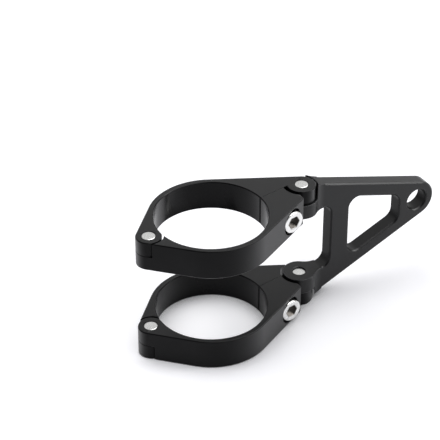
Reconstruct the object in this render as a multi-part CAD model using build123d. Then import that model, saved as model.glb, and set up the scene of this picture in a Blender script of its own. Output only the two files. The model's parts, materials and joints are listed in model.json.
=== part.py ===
from build123d import *
import math
import os

# Headlight mounting bracket for one fork leg: two hinged clamps carry a flat, windowed arm on pivots.
# Millimetres. Origin on the fork axis at the lower clamp's base, +Z up the fork, +X along the arm.

# Fork clamps
fork_diameter = 41.0
ring_wall = 2.2
clamp_height = 11.5
clamp_pitch = 39.6          # base of the lower clamp to base of the upper clamp
hinge_from_bore = 4.7       # bore's wall to the hinge pin's axis
pivot_from_bore = 17.5      # bore's wall to the arm pivot's axis
hinge_knuckle_radius = 4.7  # clamp material round a hinge pin
clamp_edge = 0.3            # broken edges
split_angle = 8.0           # the parting face leans towards the carrier as it leaves the bore
split_gap = 0.1             # left open when the screw is tight
split_edge = 0.5            # corners of the parting broken at the bore
hinge_relief = 0.7          # radial room round a hinge knuckle
pivot_relief = 0.95         # radial room in the clamp round the arm's knuckle
jaw_end = 4.3               # pivot to the jaw's blunt end
knuckle_gap = 0.2           # axial room between stacked knuckles

# Pins
pin_diameter = 5.0
pin_clearance = 0.03        # radial, where a knuckle turns on its pin
pin_edge = 0.3
pivot_pin_recess = 0.45     # inner end of a pivot pin below the face of the arm's knuckle

# Clamp screws, M5 socket heads
thread_diameter = 5.0
thread_clearance = 0.05
screw_length = 16.0
head_diameter = 8.5
head_height = 5.0
screw_edge = 0.5
key_size = 4.0              # across the flats of the socket
key_depth = 2.6
screw_from_bore = 4.7       # along the parting face
screw_seat = 8.2            # middle of the parting gap to the floor of the counterbore
head_lift = 0.15            # room under the head, for the jaw to tilt as it opens
screw_hole_diameter = 6.0
counterbore_diameter = 10.0
tip_room = 1.2              # tapped hole beyond the screw's tip

# Arm
arm_thickness = 6.0
arm_knuckle_radius = 6.05
arm_knuckle_lip = 0.75      # the clamp's knuckle is smaller by this all round
arm_knuckle_rise = 0.65     # each knuckle of the arm stands proud of its clamp, towards the other
arm_relief = 0.8            # radial room in the arm round the clamp's knuckle
flare_radius = 7.0          # sweep from a knuckle down to the plate's faces
upper_root = 4.5            # pivot to where the upper edge starts to slope
lower_root = 6.9            # pivot to where the lower edge starts to slope
lower_root_height = 2.0     # that start above the lower clamp's base
arm_edge = 0.6
bolt_offset = 50.7          # pivot to headlight bolt
bolt_height = 28.2
bolt_hole_diameter = 8.4
arm_end_radius = 7.5
upper_leg = 5.5             # legs above and below the window
lower_leg = 5.0
window_start = 19.7         # pivot to the window's near side
window_length = 22.8
window_corner = 4.0
post_start = 11.7           # pivot to the post's inner face
post_corner = 4.0

bore_radius = fork_diameter / 2
ring_radius = bore_radius + ring_wall
hinge_offset = bore_radius + hinge_from_bore            # from the fork axis
pivot_offset = bore_radius + pivot_from_bore
pivot_knuckle_radius = arm_knuckle_radius - arm_knuckle_lip
pin_radius = pin_diameter / 2
running_radius = pin_radius + pin_clearance
outer_knuckle = (clamp_height - knuckle_gap) / 2        # thickness of one stacked knuckle
hinge_room = hinge_knuckle_radius + hinge_relief
pivot_room = arm_knuckle_radius + pivot_relief
upper_top = clamp_pitch + clamp_height
reach = pivot_offset + hinge_offset + fork_diameter     # safely beyond any outline
on_base = (Align.CENTER, Align.CENTER, Align.MIN)


def upright(radius, height, x=0.0, z=0.0):
    """Cylinder standing at (x, 0, z)."""
    return Pos(x, 0, z) * Cylinder(radius, height, align=on_base)


def disc(radius, x):
    return Pos(x, 0) * Circle(radius)


def clamp_blank():
    """The whole clamp before it is parted: a ring that runs out to a knuckle at each end."""
    ends = [disc(hinge_knuckle_radius, -hinge_offset), disc(pivot_knuckle_radius, pivot_offset)]
    outline = make_hull([shape.edge() for shape in (Circle(ring_radius), *ends)])
    blank = extrude(outline - Circle(bore_radius), clamp_height, dir=(0, 0, 1))
    faces = blank.faces().sort_by(Axis.Z)
    return chamfer(faces[0].edges() + faces[-1].edges(), clamp_edge)


def parting_side(side):
    """Plan region on one side of the parting gap: +1 is the carrier's side, -1 the jaw's."""
    shift = side * split_gap / 2
    rise = math.tan(math.radians(split_angle)) * (reach - bore_radius)
    line = [(-reach, shift), (bore_radius, shift), (reach, rise + shift)]
    half = Polygon(*line, (reach, side * reach), (-reach, side * reach), align=None)
    return half - Pos(bore_radius, 0) * RegularPolygon(split_edge, 4)


def layered(lower_plan, upper_plan, level):
    """Two plan regions, one above the other, cut out of the clamp blank."""
    lower = extrude(lower_plan, level, dir=(0, 0, 1))
    upper = Pos(0, 0, level) * extrude(upper_plan, clamp_height - level, dir=(0, 0, 1))
    return (clamp_blank() & lower) + (clamp_blank() & upper)


def screw_frame():
    """Place on the screw's axis in the middle of the parting gap, pointing out through the jaw."""
    lean = math.radians(split_angle)
    x = bore_radius + screw_from_bore * math.cos(lean)
    y = screw_from_bore * math.sin(lean)
    outward = (math.sin(lean), -math.cos(lean), 0)
    return Plane(origin=(x, y, clamp_height / 2), x_dir=(0, 0, 1), z_dir=outward).location


def drilled(diameter, start, end):
    return screw_frame() * Pos(0, 0, start) * Cylinder(diameter / 2, end - start, align=on_base)


def carrier():
    """Clamp half that holds both pins, with its knuckles in the base half of the height."""
    plan = parting_side(1)
    base = plan + disc(hinge_knuckle_radius, -hinge_offset) + disc(pivot_knuckle_radius, pivot_offset)
    room = disc(hinge_room, -hinge_offset) + disc(pivot_room, pivot_offset)
    body = layered(base, plan - room, outer_knuckle)
    for x in (-hinge_offset, pivot_offset):
        body -= upright(pin_radius, clamp_height, x)
    thread_end = screw_seat + head_lift - screw_length - tip_room
    return body - drilled(thread_diameter + 2 * thread_clearance, thread_end, reach)


def jaw():
    """Swinging clamp half, with its hinge knuckle in the other half of the height and the screw's seat."""
    beyond = Pos(pivot_offset - jaw_end, 0) * Rectangle(reach, 2 * reach, align=(Align.MIN, Align.CENTER))
    plan = parting_side(-1) - disc(pivot_room, pivot_offset) - beyond
    knuckled = plan + disc(hinge_knuckle_radius, -hinge_offset)
    body = layered(plan - disc(hinge_room, -hinge_offset), knuckled, clamp_height - outer_knuckle)
    body -= upright(running_radius, clamp_height, -hinge_offset)
    body -= drilled(screw_hole_diameter, -split_gap, reach)
    return body - drilled(counterbore_diameter, screw_seat, reach)


def pin(x, length):
    body = upright(pin_radius, length, x)
    return chamfer(body.edges().filter_by(GeomType.CIRCLE), pin_edge)


def cap_screw():
    """Socket head cap screw turned in one revolve, with a hexagon socket."""
    seat = screw_seat + head_lift
    top = seat + head_height
    tip = seat - screw_length
    shank = thread_diameter / 2
    head = head_diameter / 2
    half = Polyline(
        (0, tip), (shank - screw_edge, tip), (shank, tip + screw_edge), (shank, seat), (head, seat),
        (head, top - screw_edge), (head - screw_edge, top), (0, top), close=True,
    )
    body = revolve(Plane.XZ * make_face(half), Axis.Z)
    socket = extrude(RegularPolygon(key_size / 2, 6, major_radius=False), key_depth, dir=(0, 0, 1))
    return screw_frame() * (body - Pos(0, 0, top - key_depth) * socket)


def sloping_edge(side):
    """Start and angle of the arm's upper (+1) or lower (-1) edge, which runs tangent to its rounded end."""
    root, start = (upper_root, upper_top) if side > 0 else (lower_root, lower_root_height)
    run = bolt_offset - root
    rise = bolt_height - start
    angle = math.atan2(rise, run) + side * math.asin(arm_end_radius / math.hypot(run, rise))
    return root, start, angle


def arm_profile():
    """Side view of the arm: straight at the clamps, then closing on the rounded headlight end."""
    outline = []
    for side in (-1, 1):
        root, start, angle = sloping_edge(side)
        touch_x = bolt_offset - side * arm_end_radius * math.sin(angle)
        touch_z = bolt_height + side * arm_end_radius * math.cos(angle)
        outline.append([(0, start), (root, start), (touch_x, touch_z)])
    lower, upper = outline
    end = Pos(bolt_offset, bolt_height) * Circle(arm_end_radius)
    return Polygon(*lower, *reversed(upper), align=None) + end


def arm_window():
    """Opening between the two legs and the post, with rounded corners."""
    ends = (window_start, window_start + window_length)
    sides = []
    for side, leg in ((-1, lower_leg), (1, upper_leg)):
        root, start, angle = sloping_edge(side)
        inset = start - side * leg / math.cos(angle) - root * math.tan(angle)
        sides.append([(x, inset + x * math.tan(angle)) for x in ends])
    floor, roof = sides
    return fillet(Polygon(*floor, *reversed(roof), align=None).vertices(), window_corner)


def knuckle_space():
    """Side view of the space between the arm's two knuckles, rounded into the post."""
    floor = clamp_height + arm_knuckle_rise
    corner = (Align.MAX, Align.MIN)
    space = Pos(post_start, floor) * Rectangle(reach, clamp_pitch - floor, align=corner)
    return fillet(space.vertices().group_by(Axis.X)[-1], post_corner)


def root_plan():
    """Plan of a knuckle and of the concave sweeps from it down to the plate's two faces."""
    half = arm_thickness / 2
    centre_y = half + flare_radius
    centre_x = math.sqrt((arm_knuckle_radius + flare_radius) ** 2 - centre_y ** 2)
    share = arm_knuckle_radius / (arm_knuckle_radius + flare_radius)
    touch_x, touch_y = centre_x * share, centre_y * share
    near = [(touch_x, -touch_y), (centre_x, -half)]
    far = [(centre_x, half), (touch_x, touch_y)]
    web = Polygon((0, 0), *near, *far, align=None)
    for side in (1, -1):
        web -= Pos(centre_x, side * centre_y) * Circle(flare_radius)
    return web + Circle(arm_knuckle_radius)


def headlight_arm():
    """Flat windowed plate whose root turns on both pivots and is hollowed round the clamps' knuckles."""
    side_view = Plane.XZ
    profile = arm_profile()
    space = knuckle_space()
    bolt_hole = Pos(bolt_offset, bolt_height) * Circle(bolt_hole_diameter / 2)
    plate = extrude(side_view * (profile - space - arm_window() - bolt_hole), arm_thickness / 2, both=True)
    faces = plate.faces().sort_by(Axis.Y)
    plate = chamfer(faces[0].edges() + faces[-1].edges(), arm_edge)
    root = extrude(root_plan(), reach, dir=(0, 0, 1)) & extrude(side_view * profile, reach, both=True)
    body = plate + root + upright(arm_knuckle_radius, upper_top)
    body -= extrude(side_view * space, reach, both=True)
    hollow = pivot_knuckle_radius + arm_relief
    body -= upright(hollow, clamp_height - outer_knuckle)
    body -= upright(hollow, reach, z=clamp_pitch + outer_knuckle)
    return Pos(pivot_offset, 0) * (body - upright(running_radius, upper_top))


def to_upper(solid):
    """The upper clamp's pieces are the lower clamp's, mirrored about the level halfway between the two."""
    return mirror(solid, about=Plane.XY.offset(upper_top / 2))


os.makedirs("parts", exist_ok=True)
export_step(headlight_arm(), "parts/headlight_arm.step")
clamp_pieces = {
    "clamp_body": carrier(),
    "clamp_jaw": jaw(),
    "hinge_pin": pin(-hinge_offset, clamp_height),
    "pivot_pin": pin(pivot_offset, clamp_height + arm_knuckle_rise - pivot_pin_recess),
    "clamp_screw": cap_screw(),
}
for name, solid in clamp_pieces.items():
    export_step(solid, f"parts/lower_{name}.step")
    export_step(to_upper(solid), f"parts/upper_{name}.step")
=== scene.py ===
import json
import math

import bmesh
import bpy
from mathutils import Matrix, Vector


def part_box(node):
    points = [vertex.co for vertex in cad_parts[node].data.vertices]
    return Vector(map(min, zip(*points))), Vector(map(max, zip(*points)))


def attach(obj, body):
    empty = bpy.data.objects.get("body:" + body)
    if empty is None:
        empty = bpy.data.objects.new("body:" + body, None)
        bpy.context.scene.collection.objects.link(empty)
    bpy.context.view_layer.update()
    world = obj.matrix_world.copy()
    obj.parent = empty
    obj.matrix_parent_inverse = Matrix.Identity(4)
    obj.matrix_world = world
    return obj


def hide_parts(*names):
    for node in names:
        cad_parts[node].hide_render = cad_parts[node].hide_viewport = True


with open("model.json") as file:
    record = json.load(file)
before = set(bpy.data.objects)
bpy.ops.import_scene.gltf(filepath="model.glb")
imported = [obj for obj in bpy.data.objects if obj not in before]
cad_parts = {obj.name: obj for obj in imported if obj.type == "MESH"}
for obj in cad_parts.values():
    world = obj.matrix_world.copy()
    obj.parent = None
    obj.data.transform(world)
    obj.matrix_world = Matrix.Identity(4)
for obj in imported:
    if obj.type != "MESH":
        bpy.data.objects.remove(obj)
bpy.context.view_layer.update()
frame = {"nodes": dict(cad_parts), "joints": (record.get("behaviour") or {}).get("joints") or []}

mm = 0.001
levels = ("lower", "upper")  # the two clamps
raySamples = 4  # of the nodes that look for edges and neighbours
nodes = frame["nodes"]
scene = bpy.context.scene
print("frame loaded:", len(nodes), "nodes")


class Wire:  # a node socket that can stand in an expression
    def __init__(self, finish, socket):
        self.finish = finish
        self.socket = socket

    def maths(self, operation, first, second):
        return self.finish.add("ShaderNodeMath", {"operation": operation}, {0: first, 1: second})

    def __add__(self, other):
        return self.maths("ADD", self, other)

    def __sub__(self, other):
        return self.maths("SUBTRACT", self, other)

    def __rsub__(self, other):
        return self.maths("SUBTRACT", other, self)

    def __mul__(self, other):
        return self.maths("MULTIPLY", self, other)

    __radd__ = __add__
    __rmul__ = __mul__


class Finish:  # the node tree of a material or of the world
    def __init__(self, owner):
        owner.use_nodes = True
        self.owner = owner
        self.tree = owner.node_tree
        self.tree.nodes.clear()

    def add(self, kind, settings=None, inputs=None, out=0):
        node = self.tree.nodes.new(kind)
        for key, value in (settings or {}).items():
            setattr(node, key, value)
        for key, value in (inputs or {}).items():
            if isinstance(value, Wire):
                self.tree.links.new(value.socket, node.inputs[key])
            else:
                node.inputs[key].default_value = value
        return Wire(self, node.outputs[out]) if len(node.outputs) else None

    def mask(self, value, low, high):  # 0 below low, 1 above high
        span = {"Value": value, "From Min": low, "From Max": high}
        return self.add("ShaderNodeMapRange", {"interpolation_type": "SMOOTHSTEP"}, span)

    def tint(self, fac, first, second):
        return self.add("ShaderNodeMix", {"data_type": "RGBA"}, {0: fac, 6: first, 7: second}, 2)

    def mix(self, fac, first, second):  # of two shaders
        return self.add("ShaderNodeMixShader", {}, {0: fac, 1: first, 2: second})

    def vector(self, operation, inputs, out=0):
        return self.add("ShaderNodeVectorMath", {"operation": operation}, inputs, out)

    def stretched(self, place, lay):
        return self.vector("MULTIPLY", {0: place, 1: lay})

    def dot(self, first, second):
        return self.vector("DOT_PRODUCT", {0: first, 1: second}, "Value")

    def length(self, place):
        return self.vector("LENGTH", {0: place}, "Value")

    def noise(self, place, scale, detail=2.0, rough=0.5):
        span = {"Vector": place, "Scale": scale, "Detail": detail, "Roughness": rough}
        return self.add("ShaderNodeTexNoise", {}, span)

    def coordinate(self, which):
        return self.add("ShaderNodeTexCoord", out=which)

    def millimetres(self):  # place on the piece itself
        return self.vector("SCALE", {0: self.coordinate("Object"), "Scale": 1 / mm})

    def fromAxis(self, place):  # distance from the piece's own Z
        return self.length(self.stretched(place, (1, 1, 0)))

    def alongAxis(self, place):
        return self.add("ShaderNodeSeparateXYZ", {}, {0: place}, "Z")

    def towards(self, direction):  # cosine between the piece's own surface and a direction
        return self.dot(self.coordinate("Normal"), direction)

    def openness(self, reach, ownFaces=False):  # how free the surface is of what lies near it
        settings = {"samples": raySamples, "only_local": ownFaces}
        return self.add("ShaderNodeAmbientOcclusion", settings, {"Distance": reach * mm}, "AO")

    def ray(self, kind):
        return self.add("ShaderNodeLightPath", out=f"Is {kind} Ray")

    def close(self, shader, kind="ShaderNodeOutputMaterial"):
        self.add(kind, {}, {"Surface": shader})
        return self.owner


def grey(tone, blue=0.0):
    return (tone, tone, tone * (1 + blue), 1)


# Black anodised aluminium, lengths in millimetres
anodised = {
    "grain": (5.5, 3.0, 0.6), "cloud": (0.09, 3.0, 0.55), "rubs": (0.8, 4.0, 0.6),  # scale, detail, roughness
    "dye": 0.0026, "dyeThin": 0.0042, "dyeBlue": 0.08, "cloudThin": (0.3, 0.7),
    "roughness": 0.34, "roughnessSpread": 0.10,
    "grainDepth": 0.006, "bumpStrength": 0.35,  # blasted skin under the dye
    # colour of bare worn metal, also used for the painted highlight along outer edges
    "bareAndHighlightTone": 0.085, "bareAndHighlightBlue": 0.02, "rubbedOff": (0.45, 0.68), "rubbedBare": 0.35,
    "edgeTurn": (0.01, 0.16), "edgeReach": 1.2, "edgeOpen": (0.55, 0.9),  # where an outer edge shows
    "boreReach": 20.9, "boreBlend": 0.1, "borePolish": 0.16,  # just past the wall of the fork bores
    "cutterPitch": 0.42, "cutterDepth": 0.0016,  # fine cutter lines in the fork bores
    "towardsFork": (-1, 0, 0),
}


def clampGloss(f, look, inBore):
    turnedAway = f.add("ShaderNodeLayerWeight", out="Facing")
    armSide = f.mask(f.towards(look["towardsFork"]), *look["armSide"])
    dulled = armSide * look["armSideDulled"] + look["boreDulled"]
    return f.mask(turnedAway, *look["glossRise"]) * (1 - inBore * dulled)


def armGloss(f, look, inBore):
    return 1 - f.mask(f.towards(look["towardsFork"]), *look["forkFaces"]) * look["forkFacesDulled"]


# How the two skins differ: direction of handling, refraction where dull and glossy, gloss, and how far outer
# edges are lightened in colour, partly as bare worn metal and partly as a painted highlight
clampSkin = {
    "lay": (1.0, 1.0, 2.5), "iors": (1.2, 1.5), "edgeRadius": 0.15, "edgeBareAndHighlight": 0.05,
    "gloss": clampGloss, "glossRise": (0.2, 0.6),  # dull square on, glossy where it turns away
    "boreDulled": 0.4, "armSide": (0.2, 0.8), "armSideDulled": 0.5,  # fork bores, and more on their arm side
}
armSkin = {
    # the arm's outer edges get a wide, strong painted highlight in their colour
    "lay": (0.35, 1.0, 1.0), "iors": (1.15, 1.37), "edgeRadius": 0.5, "edgeBareAndHighlight": 0.9,
    "gloss": armGloss, "forkFaces": (0.6, 0.95), "forkFacesDulled": 0.8,  # dull on faces towards the fork
}


def blackAnodised(name, skinKind):
    look = anodised | skinKind
    f = Finish(bpy.data.materials.new(name))
    place = f.millimetres()
    grain = f.noise(place, *look["grain"])
    cloud = f.noise(place, *look["cloud"])  # uneven dye
    rubbed = f.noise(f.stretched(place, look["lay"]), *look["rubs"])  # handling, along the piece

    rounded = f.add("ShaderNodeBevel", {"samples": raySamples}, {"Radius": look["edgeRadius"] * mm})
    turned = f.dot(rounded, f.add("ShaderNodeNewGeometry", out="Normal"))
    outside = f.openness(look["edgeReach"], True)
    edge = f.mask(1 - turned, *look["edgeTurn"]) * f.mask(outside, *look["edgeOpen"])
    worn = edge * f.mask(rubbed, *look["rubbedOff"])

    full, thin = [grey(look[tone], look["dyeBlue"]) for tone in ("dye", "dyeThin")]
    dye = f.tint(f.mask(cloud, *look["cloudThin"]), full, thin)
    # outer edges lightened in colour: bare metal where rubbed, and a painted highlight along every outer edge
    bareAndHighlight = worn * look["rubbedBare"] + edge * look["edgeBareAndHighlight"]
    base = f.tint(bareAndHighlight, dye, grey(look["bareAndHighlightTone"], look["bareAndHighlightBlue"]))

    inBore = 1 - f.mask(f.fromAxis(place), look["boreReach"] - look["boreBlend"], look["boreReach"])
    wave = f.alongAxis(place) * (2 * math.pi / look["cutterPitch"])
    cutter = f.add("ShaderNodeMath", {"operation": "SINE"}, {0: wave})
    uneven = (cloud + rubbed - 1) * look["roughnessSpread"]  # each noise is about 0.5
    rough = uneven + look["roughness"] - inBore * look["borePolish"]
    relief = grain * look["grainDepth"] + cutter * inBore * look["cutterDepth"]
    bump = f.add("ShaderNodeBump", {}, {
        "Strength": look["bumpStrength"], "Distance": mm, "Height": relief, "Normal": rounded,
    })
    skin = {"Base Color": base, "Roughness": rough, "Normal": bump}
    dull, glossy = [f.add("ShaderNodeBsdfPrincipled", {}, skin | {"IOR": ior}) for ior in look["iors"]]
    return f.close(f.mix(look["gloss"](f, look, inBore), dull, glossy))


# Bright steel, turned about the piece's own Z, lengths in millimetres
steel = {
    "pin": {"tone": 0.70, "dull": 0.56, "roughness": 0.26, "ringPerMm": 5.0, "ringDepth": 0.004},
    "screw": {"tone": 0.80, "dull": 0.64, "roughness": 0.24, "ringPerMm": 3.2, "ringDepth": 0.003},
    "blue": -0.015, "bumpStrength": 0.4,
    "rings": (1.0, 3.0, 0.6), "wobble": 0.3, "wobblePerMm": 0.7, "linePerMm": 2.0,  # tool marks
    "ringDark": (0.55, 0.8), "ringShade": 0.25, "ringRough": 0.18,
    "patches": (0.55, 4.0, 0.6), "patchDull": (0.48, 0.72), "patchShade": 0.6, "patchRough": 0.12,
    "scratchLay": (0.25, 5, 2), "scratchPerMm": 1.6, "scratched": (0.6, 0.75), "scratchRough": 0.1,
    "socketShade": (0.045, 0.037, 0.03, 1), "socketShadeAmount": 0.93, "socketShadeRough": 0.15,  # painted shade, dark and rougher, inside the screws' key sockets
    "socketShadeBlend": 0.1, "socketShadeClear": 0.2, "socketShadeReach": 0.75,  # clear below the mouth, reach as a share of the key
}


def brightSteel(name, kind, socket=None):
    look = steel | steel[kind]
    f = Finish(bpy.data.materials.new(name))
    place = f.millimetres()
    fromAxis, alongAxis = f.fromAxis(place), f.alongAxis(place)
    wobble = f.noise(place, look["wobblePerMm"]) * look["wobble"]
    turning = {"X": fromAxis * look["ringPerMm"] + wobble, "Y": alongAxis * look["linePerMm"]}
    rings = f.noise(f.add("ShaderNodeCombineXYZ", {}, turning), *look["rings"])
    scratch = f.noise(f.stretched(place, look["scratchLay"]), look["scratchPerMm"])
    dull = f.mask(f.noise(place, *look["patches"]), *look["patchDull"])

    shade = dull * look["patchShade"] + f.mask(rings, *look["ringDark"]) * look["ringShade"]
    colour = f.tint(shade, grey(look["tone"], look["blue"]), grey(look["dull"], look["blue"]))
    rough = dull * look["patchRough"] + (rings - 0.5) * look["ringRough"] + look["roughness"]
    rough = rough + f.mask(scratch, *look["scratched"]) * look["scratchRough"]
    if socket:
        floor, mouth, reach = socket
        # painted shade: the key socket's walls and floor darkened in colour
        above = f.mask(alongAxis, floor - look["socketShadeBlend"], floor)
        below = 1 - f.mask(alongAxis, mouth - look["socketShadeClear"], mouth)
        within = 1 - f.mask(fromAxis, reach, reach + look["socketShadeBlend"])
        shadedSocket = above * below * within * look["socketShadeAmount"]
        colour = f.tint(shadedSocket, colour, look["socketShade"])
        rough = rough + shadedSocket * look["socketShadeRough"]
    depth = {"Strength": look["bumpStrength"], "Distance": look["ringDepth"] * mm}
    bump = f.add("ShaderNodeBump", {}, depth | {"Height": rings})
    return f.close(f.add("ShaderNodeBsdfPrincipled", {}, {
        "Base Color": colour, "Metallic": 1.0, "Roughness": rough, "Normal": bump,
    }))


# Clamps and arm: the CAD shapes with their sharp edges softened
softEdge = {"width": 0.06, "segments": 2, "angle": 25, "join": 0.002, "evenWeight": 90}


def softenEdges(piece):
    weld = piece.modifiers.new("joinFaces", "WELD")
    weld.merge_threshold = softEdge["join"] * mm
    bevel = piece.modifiers.new("softEdges", "BEVEL")
    bevel.width = softEdge["width"] * mm
    bevel.segments = softEdge["segments"]
    bevel.limit_method = "ANGLE"
    bevel.angle_limit = math.radians(softEdge["angle"])
    bevel.use_clamp_overlap = False
    shade = piece.modifiers.new("evenShading", "WEIGHTED_NORMAL")
    shade.keep_sharp = False
    shade.weight = softEdge["evenWeight"]


clampBlack = blackAnodised("blackAnodisedClamp", clampSkin)
armBlack = blackAnodised("blackAnodisedArm", armSkin)
blackPieces = {"headlight_arm": armBlack}
for level in levels:
    blackPieces[level + "_clamp_body"] = clampBlack
    blackPieces[level + "_clamp_jaw"] = clampBlack
for name, material in blackPieces.items():
    nodes[name].data.materials.clear()
    nodes[name].data.materials.append(material)
    softenEdges(nodes[name])
print("anodised pieces:", len(blackPieces))


sharpAngle = 32  # degrees between faces of a turned piece, from which the edge stays sharp


def lathe(name, rows, columns, material):
    # rows run from the low end to the high end: height, and a radius or a function of the column
    mesh = bmesh.new()
    rings = []
    for height, radius in rows:
        if radius == 0:
            rings.append([mesh.verts.new((0, 0, height * mm))])
            continue
        ring = []
        for column in range(columns):
            angle = 2 * math.pi * column / columns
            reach = radius(angle, column) if callable(radius) else radius
            point = (reach * math.cos(angle), reach * math.sin(angle), height)
            ring.append(mesh.verts.new(Vector(point) * mm))
        rings.append(ring)
    for low, high in zip(rings, rings[1:]):
        for column in range(columns):
            after = (column + 1) % columns
            if len(low) == 1:
                mesh.faces.new((low[0], high[after], high[column]))
            elif len(high) == 1:
                mesh.faces.new((low[column], low[after], high[0]))
            else:
                mesh.faces.new((low[column], low[after], high[after], high[column]))
    for face in mesh.faces:
        face.smooth = True
    for edge in mesh.edges:
        edge.smooth = edge.calc_face_angle(0) < math.radians(sharpAngle)
    data = bpy.data.meshes.new(name)
    mesh.to_mesh(data)
    mesh.free()
    data.materials.append(material)
    piece = bpy.data.objects.new(name, data)
    scene.collection.objects.link(piece)
    return piece


def roundedRim(height, radius, bend, steps):
    # rows from the side up over a rounded rim, to just short of the flat
    rows = []
    for step in range(steps):
        angle = math.pi / 2 * step / steps
        rows.append((height - bend + bend * math.sin(angle), radius - bend + bend * math.cos(angle)))
    return rows


# Dowel pins
dowel = {"rim": 0.32, "rimSteps": 5, "crown": 0.06, "crownRings": 5, "columns": 96}


def dowelPin(name, node, body):
    low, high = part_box(node)
    middle = (low + high) / 2
    height = (high.z - low.z) / mm
    radius = (high.x - low.x) / 2 / mm
    flat = radius - dowel["rim"]
    upper = roundedRim(height - dowel["crown"], radius, dowel["rim"], dowel["rimSteps"])
    for ring in range(dowel["crownRings"]):
        share = 1 - ring / dowel["crownRings"]
        upper.append((height - dowel["crown"] * share ** 2, flat * share))
    upper.append((height, 0))
    rows = [(height - up, out) for up, out in reversed(upper)] + upper  # both ends alike
    piece = lathe(name, rows, dowel["columns"], pinSteel)
    piece.location = (middle.x, middle.y, low.z)
    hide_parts(node)
    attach(piece, body)


pinSteel = brightSteel("groundPinSteel", "pin")
ends = ("hinge", "pivot")
for level in levels:
    for which in ends:
        dowelPin(f"{level}{which.title()}Dowel", f"{level}_{which}_pin", level + "_clamp")
print("dowel pins:", len(levels) * len(ends))


# Socket cap screws, M5 by 16
capScrew = {
    "thread": 5.0, "pitch": 0.8, "threadDepth": 0.44,
    "grooveHalf": 0.44,  # half a groove's width, as a share of the pitch
    "length": 16.0, "tip": 0.7, "tipFlat": 0.1, "neck": 0.9, "runOut": 1.2, "runOutEnd": 0.7,
    "filletDown": 0.25, "filletOut": 0.15,  # under the head
    "head": 8.5, "headHeight": 5.0, "footEdge": 0.2, "headRim": 0.55, "rimSteps": 6, "topBand": 0.5,
    "knurls": 48, "knurlDepth": 0.13, "knurlFrom": 0.5, "knurlTo": 3.9, "knurlLead": 0.15,
    "key": 4.0, "keyDepth": 2.6, "keyMouth": 0.4, "keyLead": 0.3, "keyLedge": 0.35,
    "drillPoint": 0.9, "drillWaist": 1.0,  # depth, and the radius halfway down
    "rowsPerTurn": 6, "columnsPerKnurl": 3,
}


def hexagon(grow):
    def reach(angle, column):
        toFlat = (angle + math.pi / 6) % (math.pi / 3) - math.pi / 6
        return (capScrew["key"] / 2 + grow) / math.cos(toFlat)
    return reach


def knurled(depth):
    def reach(angle, column):
        return capScrew["head"] / 2 - (depth if column % capScrew["columnsPerKnurl"] == 0 else 0)
    return reach


def threaded(height):
    s = capScrew
    crest = s["thread"] / 2
    chamfer = crest - max(0.0, s["tip"] - height)
    fade = (s["length"] - s["runOutEnd"] - height) / s["runOut"]
    depth = s["threadDepth"] * max(0.0, min(1.0, fade))

    def reach(angle, column):
        turn = (height / s["pitch"] - angle / (2 * math.pi)) % 1
        groove = max(0.0, 1 - abs(turn - 0.5) / s["grooveHalf"])
        return min(chamfer, crest - depth * groove)
    return reach


def screwRows():
    s = capScrew
    shank, head, seat = s["thread"] / 2, s["head"] / 2, s["length"]
    rows = [(0, 0), (0, shank - s["tip"])]
    threadEnd = seat - s["neck"]
    count = round(threadEnd / s["pitch"] * s["rowsPerTurn"])
    for row in range(count + 1):
        height = s["tipFlat"] + (threadEnd - s["tipFlat"]) * row / count
        rows.append((height, threaded(height)))
    rows += [(seat - s["filletDown"], shank), (seat, shank + s["filletOut"])]
    rows += [(seat, head - s["footEdge"]), (seat + s["footEdge"], head)]

    foot, crest = seat + s["knurlFrom"], seat + s["knurlTo"]
    rows += [(foot, head), (foot + s["knurlLead"], knurled(s["knurlDepth"]))]
    rows += [(crest - s["knurlLead"], knurled(s["knurlDepth"])), (crest, head)]
    top, rim = seat + s["headHeight"], head - s["headRim"]
    rows += roundedRim(top, head, s["headRim"], s["rimSteps"])
    rows += [(top, rim), (top, rim - s["topBand"])]

    floor = top - s["keyDepth"]
    rows += [(top, hexagon(s["keyMouth"])), (top - s["keyLead"], hexagon(0))]
    rows += [(floor, hexagon(0)), (floor, hexagon(-s["keyLedge"]))]
    return rows + [(floor - s["drillPoint"] / 2, s["drillWaist"]), (floor - s["drillPoint"], 0)]


def keySocket():  # lowest point, mouth and reach of the painted shade in it
    s = capScrew
    top = s["length"] + s["headHeight"]
    return top - s["keyDepth"] - s["drillPoint"], top, s["key"] * steel["socketShadeReach"]


def clampScrew(name, node, body):
    joint = next(j for j in frame["joints"] if j["child"] == body)
    outward = Vector(joint["axis"]).normalized()
    across = Vector((0, 0, 1))
    turn = Matrix((across, outward.cross(across), outward)).transposed()
    points = [turn.transposed() @ vertex.co for vertex in nodes[node].data.vertices]
    lows = [min(point[axis] for point in points) for axis in range(3)]
    highs = [max(point[axis] for point in points) for axis in range(3)]
    tip = Vector(((lows[0] + highs[0]) / 2, (lows[1] + highs[1]) / 2, lows[2]))
    piece = lathe(name, screwRows(), capScrew["knurls"] * capScrew["columnsPerKnurl"], screwSteel)
    piece.matrix_world = Matrix.Translation(turn @ tip) @ turn.to_4x4()
    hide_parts(node)
    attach(piece, body)


screwSteel = brightSteel("brightScrewSteel", "screw", keySocket())
for level in levels:
    clampScrew(level + "CapScrew", level + "_clamp_screw", level + "_screw")
print("cap screws:", len(levels))


# Floor, in metres, or in millimetres where the name says so
paleFloor = {
    "size": 6.0, "squares": 8, "dropMm": 0.1, "tone": 0.97, "glow": 0.20,
    "shadeMm": 12, "shadeSpread": (0.15, 0.62), "shadeTone": 0.15,  # painted shadow: the floor's colour darker close under the part
    "whiteFrom": (0.3, 0.8),  # fades to white over this distance
}


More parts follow.
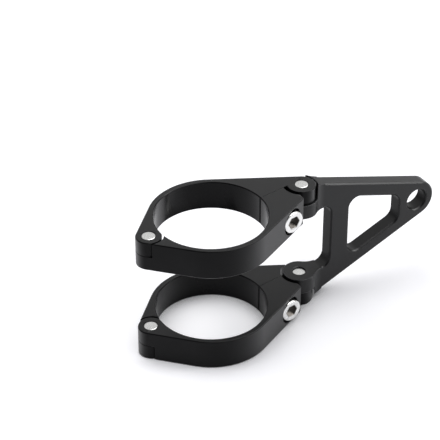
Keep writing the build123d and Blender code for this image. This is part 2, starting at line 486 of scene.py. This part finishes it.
def floorSheet():
    look = paleFloor
    f = Finish(bpy.data.materials.new("paleFloor"))
    toCamera = f.ray("Camera")
    seen = f.add("ShaderNodeClamp", {}, {0: toCamera + f.ray("Glossy") + f.ray("Transmission")})
    # painted shadow: the floor's colour darkens close under the part, and its glow drops out there
    unshaded = f.mask(f.openness(look["shadeMm"]), *look["shadeSpread"])
    tone = f.tint(unshaded, grey(look["tone"] * look["shadeTone"]), grey(look["tone"]))
    flat = {"Base Color": tone, "Roughness": 1.0, "Specular IOR Level": 0.0}
    matt = f.add("ShaderNodeBsdfPrincipled", {}, flat)
    glow = f.add("ShaderNodeEmission", {}, {"Color": grey(1.0), "Strength": look["glow"]})
    lit = f.add("ShaderNodeAddShader", {}, {0: matt, 1: glow})
    white = f.add("ShaderNodeEmission", {}, {"Color": grey(1.0), "Strength": 1.0})
    farAway = f.mask(f.length(f.coordinate("Object")), *look["whiteFrom"])
    sheet = f.mix(toCamera * farAway, f.mix(seen * unshaded, matt, lit), white)
    fromBelow = f.add("ShaderNodeNewGeometry", out="Backfacing")  # see-through from there
    material = f.close(f.mix(fromBelow, sheet, f.add("ShaderNodeBsdfTransparent")))

    mesh = bmesh.new()
    squares = look["squares"]
    bmesh.ops.create_grid(mesh, x_segments=squares, y_segments=squares, size=look["size"] / 2)
    data = bpy.data.meshes.new("studioFloor")
    mesh.to_mesh(data)
    mesh.free()
    data.materials.append(material)
    piece = bpy.data.objects.new("studioFloor", data)
    piece.location.z = -look["dropMm"] * mm
    scene.collection.objects.link(piece)


# Sky: plain light, white to the camera, and pale panels in reflections
sky = {
    "light": 0.56, "lightBlue": 0.07,
    "front": 0.12, "back": 0.82, "backwards": (0.5, 0.86, 0), "backSpread": (-0.6, 0.5),
    "top": 5.5, "upwards": (0.42, -0.25, 0.87), "topSpread": (0.78, 0.88),
}


def studioSky():
    scene.world = bpy.data.worlds.new("studioSky")
    f = Finish(scene.world)
    toSky = f.coordinate("Generated")
    behind = f.mask(f.dot(toSky, sky["backwards"]), *sky["backSpread"])
    overhead = f.mask(f.dot(toSky, sky["upwards"]), *sky["topSpread"])
    panels = f.tint(behind, grey(sky["front"]), grey(sky["back"]))
    panels = f.tint(overhead, panels, grey(sky["top"]))
    colours = (grey(sky["light"], sky["lightBlue"]), panels, grey(1.0))
    plain, mirrored, white = [
        f.add("ShaderNodeBackground", {}, {"Color": colour, "Strength": 1.0}) for colour in colours
    ]
    inside = f.mix(f.ray("Glossy") + f.ray("Transmission"), plain, mirrored)
    f.close(f.mix(f.ray("Camera"), inside, white), "ShaderNodeOutputWorld")


# Lamps, in metres and watts; the sky's panels stand for the key in reflections
softboxes = {
    "keySoftbox": {
        "place": (-0.1, 0.48, 0.95), "aim": (0.03, 0.0, 0.0), "size": 1.2, "power": 6.6, "mirrored": False,
    },
    "sideSoftbox": {
        "place": (0.70, -0.36, 0.48), "aim": (0.05, 0.0, 0.03), "size": 0.3, "power": 1.6, "mirrored": True,
    },
}


def softbox(name, look):
    light = bpy.data.lights.new(name, "AREA")
    light.shape = "DISK"
    light.size = look["size"]
    light.energy = look["power"]
    lamp = bpy.data.objects.new(name, light)
    lamp.location = look["place"]
    lamp.rotation_mode = "QUATERNION"
    lamp.rotation_quaternion = (Vector(look["aim"]) - Vector(look["place"])).to_track_quat("-Z", "Y")
    lamp.visible_glossy = look["mirrored"]
    scene.collection.objects.link(lamp)


# The photograph's viewpoint: place in millimetres along its own axes, focal length in pixels
viewpoint = {
    "right": 3.192, "up": 39.97, "back": 692.2, "azimuth": -30.75, "elevation": 34.91,
    "focal": 1879, "frameWidth": 440, "sensor": 36.0,
    "nearest": 0.02, "furthest": 20,  # metres
}


def photoCamera():
    v = viewpoint
    azimuth, elevation = math.radians(v["azimuth"]), math.radians(v["elevation"])
    right = Vector((math.cos(azimuth), math.sin(azimuth), 0))
    level = Vector((math.sin(azimuth), -math.cos(azimuth), 0))
    back = level * math.cos(elevation) + Vector((0, 0, math.sin(elevation)))
    up = back.cross(right)
    lens = bpy.data.cameras.new("photoCamera")
    lens.sensor_width = v["sensor"]
    lens.lens = v["focal"] / v["frameWidth"] * v["sensor"]
    lens.clip_start, lens.clip_end = v["nearest"], v["furthest"]
    camera = bpy.data.objects.new("photoCamera", lens)
    place = (right * v["right"] + up * v["up"] + back * v["back"]) * mm
    camera.matrix_world = Matrix.Translation(place) @ Matrix((right, up, back)).transposed().to_4x4()
    scene.collection.objects.link(camera)
    scene.camera = camera


floorSheet()
studioSky()
for name, look in softboxes.items():
    softbox(name, look)
photoCamera()
scene.view_settings.view_transform = "Standard"
print("studio ready")
